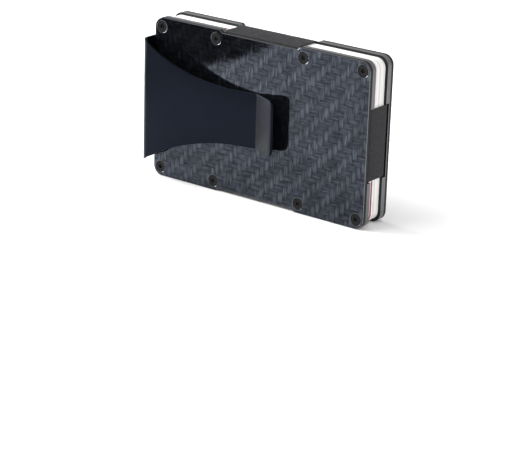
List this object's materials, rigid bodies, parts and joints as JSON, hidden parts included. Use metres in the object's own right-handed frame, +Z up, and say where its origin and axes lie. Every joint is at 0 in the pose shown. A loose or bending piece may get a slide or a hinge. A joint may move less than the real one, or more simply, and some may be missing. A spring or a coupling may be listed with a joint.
{
  "type": "card holder with money clip",
  "caption": "Slim card holder: carbon plates squeeze a stack of cards with elastic, with a sprung money clip on the front and a thumb tab at the back.",
  "frame": {"origin": "middle of the whole object's box in X and Y, at the height of the long edge that it stands on", "axes": "+X along the holder away from the clip's fold, +Y out of the back face, +Z up across the cards"},
  "size_m": [0.0906, 0.0236, 0.0555],
  "materials": {
    "carbon_plate": "clear-coated carbon twill",
    "inner_plate": "dark anodised",
    "screw": "black oxide",
    "clip_steel": "satin dark coating",
    "tab_steel": "satin",
    "elastic": "ribbed woven elastic",
    "card_white": "semi-gloss",
    "card_red": "semi-gloss",
    "card_tan": "semi-gloss"
  },
  "bodies": {
    "front_half": {"front_outer_plate": "carbon_plate", "front_inner_plate": "inner_plate", "clip_base": "clip_steel", "wide_elastic": "elastic", "end_elastic": "elastic", "front_screw_1": "screw", "front_screw_2": "screw", "front_screw_3": "screw", "front_screw_4": "screw", "front_screw_5": "screw", "front_screw_6": "screw", "front_screw_7": "screw", "front_screw_8": "screw"},
    "back_half": {"back_outer_plate": "carbon_plate", "back_inner_plate": "inner_plate", "thumb_tab": "tab_steel", "back_screw_1": "screw", "back_screw_2": "screw", "back_screw_3": "screw", "back_screw_4": "screw", "back_screw_5": "screw", "back_screw_6": "screw", "back_screw_7": "screw", "back_screw_8": "screw"},
    "clip_spring": {"clip_leaf": "clip_steel"},
    "card_1_body": {"card_1": "card_white"},
    "card_2_body": {"card_2": "card_white"},
    "card_3_body": {"card_3": "card_red"},
    "card_4_body": {"card_4": "card_white"},
    "card_5_body": {"card_5": "card_tan"},
    "card_6_body": {"card_6": "card_white"},
    "card_7_body": {"card_7": "card_white"},
    "card_8_body": {"card_8": "card_white"}
  },
  "joints": [
    {"name": "clip_flex", "type": "hinge", "parent": "front_half", "child": "clip_spring", "pos_m": [-0.03946, -0.01141, 0.02775], "axis": [0, 0, -1], "range_deg": [0, 10], "stiffness_Nm_per_rad": 1},
    {"name": "plate_spread", "type": "slide", "parent": "front_half", "child": "back_half", "axis": [0, 1, 0], "range_m": [0, 0.003], "stiffness_N_per_m": 400, "deforming": ["wide_elastic", "end_elastic"]},
    {"name": "card_1_slide", "type": "slide", "parent": "front_half", "child": "card_1_body", "axis": [-1, 0, 0], "range_m": [0, 0.09]},
    {"name": "card_2_slide", "type": "slide", "parent": "front_half", "child": "card_2_body", "axis": [-1, 0, 0], "range_m": [0, 0.09]},
    {"name": "card_3_slide", "type": "slide", "parent": "front_half", "child": "card_3_body", "axis": [-1, 0, 0], "range_m": [0, 0.09]},
    {"name": "card_4_slide", "type": "slide", "parent": "front_half", "child": "card_4_body", "axis": [-1, 0, 0], "range_m": [0, 0.09]},
    {"name": "card_5_slide", "type": "slide", "parent": "front_half", "child": "card_5_body", "axis": [-1, 0, 0], "range_m": [0, 0.09]},
    {"name": "card_6_slide", "type": "slide", "parent": "front_half", "child": "card_6_body", "axis": [-1, 0, 0], "range_m": [0, 0.09]},
    {"name": "card_7_slide", "type": "slide", "parent": "front_half", "child": "card_7_body", "axis": [-1, 0, 0], "range_m": [0, 0.09]},
    {"name": "card_8_slide", "type": "slide", "parent": "front_half", "child": "card_8_body", "axis": [-1, 0, 0], "range_m": [0, 0.09]}
  ]
}
